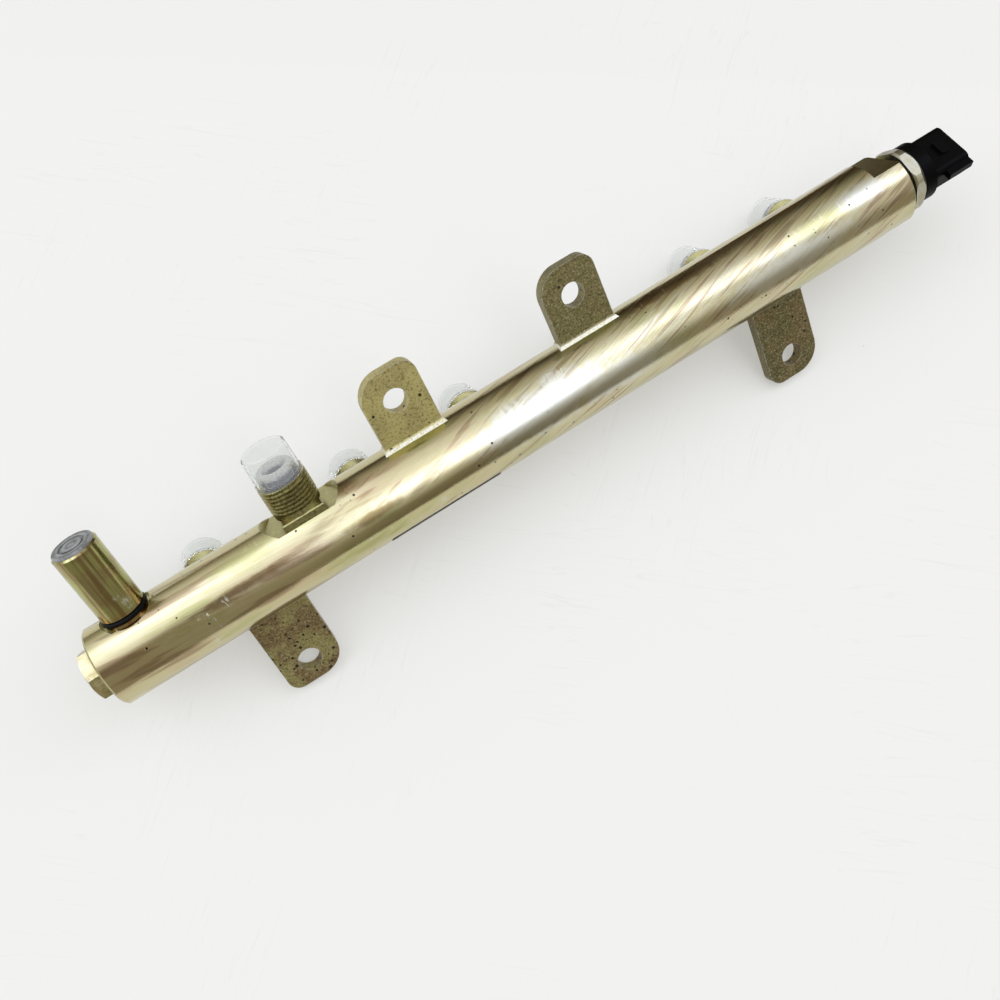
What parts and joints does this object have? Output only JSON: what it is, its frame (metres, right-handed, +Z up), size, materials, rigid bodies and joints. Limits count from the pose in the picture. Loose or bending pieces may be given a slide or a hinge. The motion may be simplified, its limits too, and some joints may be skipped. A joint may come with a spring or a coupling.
{
  "type": "common-rail fuel rail",
  "caption": "Thick steel tube that shares high-pressure diesel out to the injector lines, with capped pipe fittings, relief valve, pressure sensor, end plug and welded brackets.",
  "frame": {"origin": "on the surface that the rail lies on, under the middle of its bounding box", "axes": "+X along the tube from the end plug to the sensor, +Z up, +Y towards the upper side with the inlet and the relief valve as the rail lies"},
  "size_m": [0.3766, 0.08, 0.0653],
  "materials": {
    "tube_zinc": "yellow chromated zinc on turned steel, polished, with straw and olive tints",
    "fitting_zinc": "dark olive chromated zinc on turned steel",
    "valve_zinc": "chromated zinc with fine turning marks",
    "plug_zinc": "pale chromated zinc",
    "plate_zinc": "matte olive chromated plate with fine black specks",
    "sensor_steel": "bare stainless steel, satin",
    "inner_steel": "ground steel",
    "seal_iron": "soft iron",
    "black_plastic": "moulded black plastic, half gloss",
    "cap_plastic": "milky see-through plastic",
    "plug_plastic": "grey half see-through plastic",
    "seal_rubber": "black rubber",
    "circuit_board": "green board",
    "contact_brass": "bright contact pins"
  },
  "bodies": {
    "root": {"rail_tube": "tube_zinc", "end_plug": "plug_zinc", "end_plug_seal": "seal_iron", "inlet_fitting": "fitting_zinc", "inlet_cap": "cap_plastic", "relief_valve_body": "valve_zinc", "relief_valve_o_ring": "seal_rubber", "relief_valve_seat": "inner_steel", "relief_valve_plunger": "inner_steel", "relief_valve_spring": "inner_steel", "relief_valve_spring_stop": "inner_steel", "relief_valve_dust_plug": "plug_plastic", "sensor_body": "sensor_steel", "sensor_washer": "sensor_steel", "sensor_cell": "inner_steel", "sensor_circuit_board": "circuit_board", "sensor_gasket": "seal_rubber", "sensor_connector": "black_plastic", "sensor_pins": "contact_brass", "outlet_fitting_1": "fitting_zinc", "outlet_cap_1": "cap_plastic", "outlet_fitting_2": "fitting_zinc", "outlet_cap_2": "cap_plastic", "outlet_fitting_3": "fitting_zinc", "outlet_cap_3": "cap_plastic", "outlet_fitting_4": "fitting_zinc", "outlet_cap_4": "cap_plastic", "outlet_fitting_5": "fitting_zinc", "outlet_cap_5": "cap_plastic", "outlet_fitting_6": "fitting_zinc", "outlet_cap_6": "cap_plastic", "short_bracket_1": "plate_zinc", "long_bracket_1": "plate_zinc", "short_bracket_2": "plate_zinc", "long_bracket_2": "plate_zinc"}
  },
  "joints": []
}
